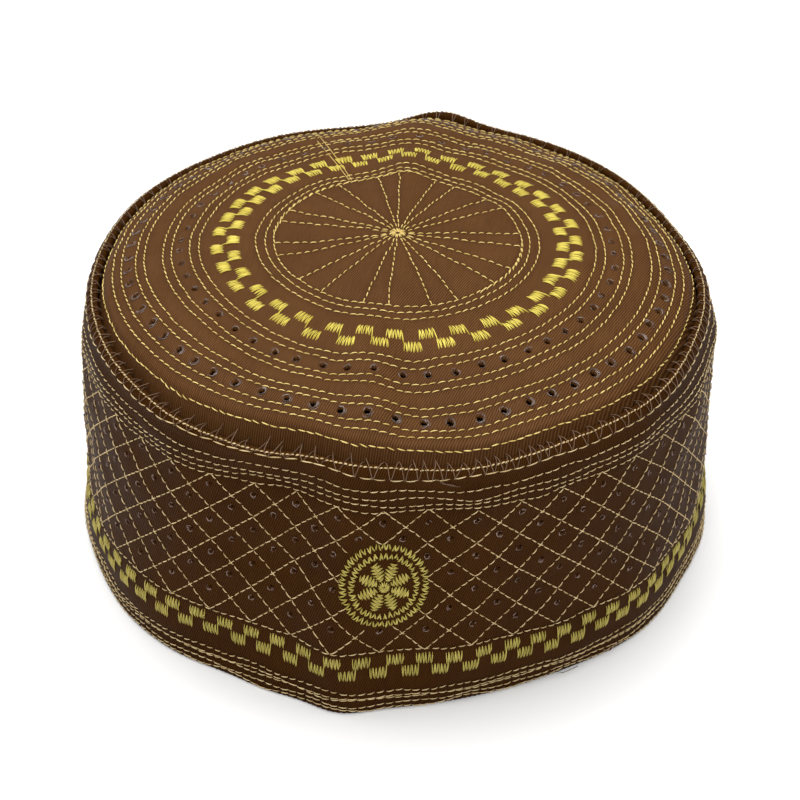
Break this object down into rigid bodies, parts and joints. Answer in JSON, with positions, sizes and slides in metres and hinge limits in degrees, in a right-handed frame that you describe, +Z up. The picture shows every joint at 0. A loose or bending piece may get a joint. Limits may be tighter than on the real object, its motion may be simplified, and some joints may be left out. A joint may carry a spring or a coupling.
{
  "type": "kufi",
  "caption": "Round brimless cloth cap: a gently domed crown set inside an upright band, with rings of pierced eyelets and running-stitch embroidery, open below for the head.",
  "frame": {"origin": "middle of the cap's plan, on the plane its hem stands on", "axes": "+Z up through the crown; the cap's front fold faces -Y and its back fold faces +Y"},
  "size_m": [0.1878, 0.1926, 0.0984],
  "materials": {
    "crown_cloth": "brown satin-weave cloth with gold stitching",
    "band_cloth": "brown satin-weave cloth with gold stitching"
  },
  "bodies": {
    "root": {"crown_top": "crown_cloth", "side_band": "band_cloth"}
  },
  "joints": []
}
